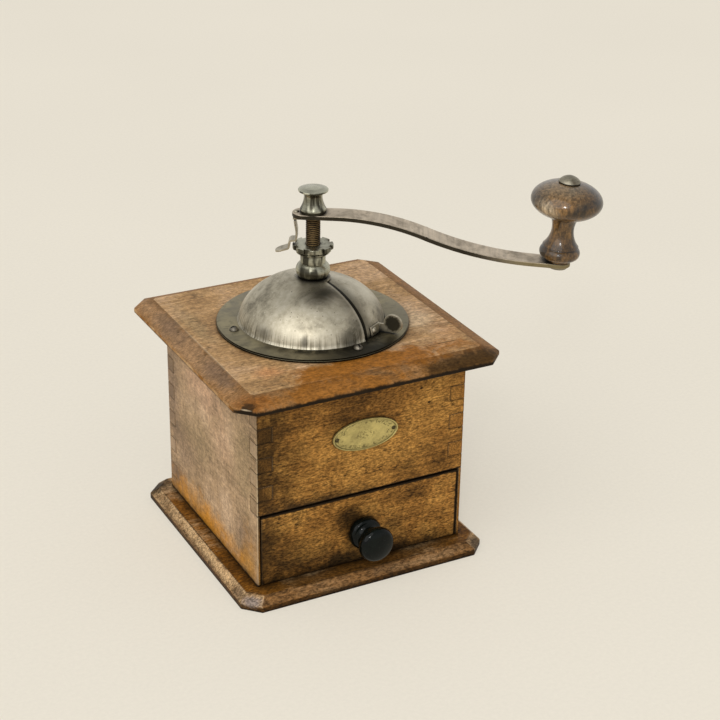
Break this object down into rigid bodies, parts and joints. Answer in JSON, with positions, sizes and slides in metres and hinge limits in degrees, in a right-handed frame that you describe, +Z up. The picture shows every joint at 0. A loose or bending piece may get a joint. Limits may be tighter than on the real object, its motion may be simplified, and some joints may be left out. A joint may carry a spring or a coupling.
{
  "type": "hand crank coffee grinder",
  "caption": "Wooden box coffee mill with a drawer, a domed steel hopper with a turning shutter, conical grinding parts inside and an S-shaped crank with a turned knob.",
  "frame": {"origin": "middle of the base board's underside, on the mill's spindle axis", "axes": "+Z up along the spindle, the drawer and the oval plate face -Y, +X to the right as seen from the front"},
  "size_m": [0.2149, 0.1655, 0.2168],
  "materials": {
    "case_wood": "old worn varnish over close-grained wood",
    "bare_wood": "bare sawn wood",
    "black_lacquer": "glossy black lacquer on turned wood",
    "dark_turned_wood": "glossy dark walnut varnish, worn",
    "dull_brass": "dull aged brass",
    "worn_sheet_steel": "tarnished, lightly scratched sheet steel",
    "tarnished_steel": "tarnished turned steel",
    "screw_steel": "dull screw steel",
    "cast_iron": "dark cast iron"
  },
  "bodies": {
    "housing": {"base_plate": "case_wood", "top_plate": "case_wood", "left_side": "case_wood", "right_side": "case_wood", "front_panel": "case_wood", "back_panel": "case_wood", "glue_blocks": "bare_wood", "base_screws": "screw_steel", "oval_plate": "dull_brass", "oval_nails": "dull_brass", "hopper_bowl": "worn_sheet_steel", "dome": "worn_sheet_steel", "flange_screws": "screw_steel", "dome_collar": "tarnished_steel", "shutter_clip": "worn_sheet_steel", "grinding_ring": "cast_iron", "ring_screws": "screw_steel", "bearing_bridge": "cast_iron", "bridge_screws": "screw_steel"},
    "drawer": {"drawer_front": "case_wood", "drawer_left_side": "bare_wood", "drawer_right_side": "bare_wood", "drawer_back": "bare_wood", "drawer_floor": "bare_wood", "drawer_pull": "black_lacquer", "drawer_pull_screw": "screw_steel"},
    "hopper_shutter": {"shutter": "worn_sheet_steel", "shutter_tab": "worn_sheet_steel", "shutter_rivet": "worn_sheet_steel"},
    "nut": {"adjusting_nut": "tarnished_steel"},
    "crank": {"spindle": "tarnished_steel", "thrust_washer": "tarnished_steel", "grinding_cone": "cast_iron", "cone_pin": "screw_steel", "crank_arm": "tarnished_steel", "eye_washer": "tarnished_steel", "cap_nut": "tarnished_steel", "knob_pin": "tarnished_steel", "latch_leaf": "tarnished_steel", "latch_rivet": "screw_steel"},
    "latch": {"latch_strip": "tarnished_steel"},
    "knob": {"crank_knob": "dark_turned_wood"}
  },
  "joints": [
    {"name": "drawer_slide", "type": "slide", "parent": "housing", "child": "drawer", "axis": [0, -1, 0], "range_m": [0, 0.095]},
    {"name": "shutter_turn", "type": "hinge", "parent": "housing", "child": "hopper_shutter", "pos_m": [0, 0, 0.14], "axis": [0, 0, 1], "range_deg": [0, 85]},
    {"name": "crank_turn", "type": "hinge", "parent": "housing", "child": "crank", "pos_m": [0, 0, 0.17], "axis": [0, 0, 1], "continuous": true},
    {"name": "nut_turn", "type": "hinge", "parent": "crank", "child": "nut", "pos_m": [0, 0, 0.172], "axis": [0, 0, 1], "range_deg": [-90, 90]},
    {"name": "knob_spin", "type": "hinge", "parent": "crank", "child": "knob", "pos_m": [0.11475, -0.06625, 0.16839], "axis": [0.0604, -0.0349, 0.9976], "continuous": true},
    {"name": "latch_release", "type": "hinge", "parent": "crank", "child": "latch", "pos_m": [-0.00849, 0.0049, 0.1878], "axis": [0.5, 0.866, 0], "range_deg": [0, 12], "stiffness_Nm_per_rad": 0.15}
  ]
}
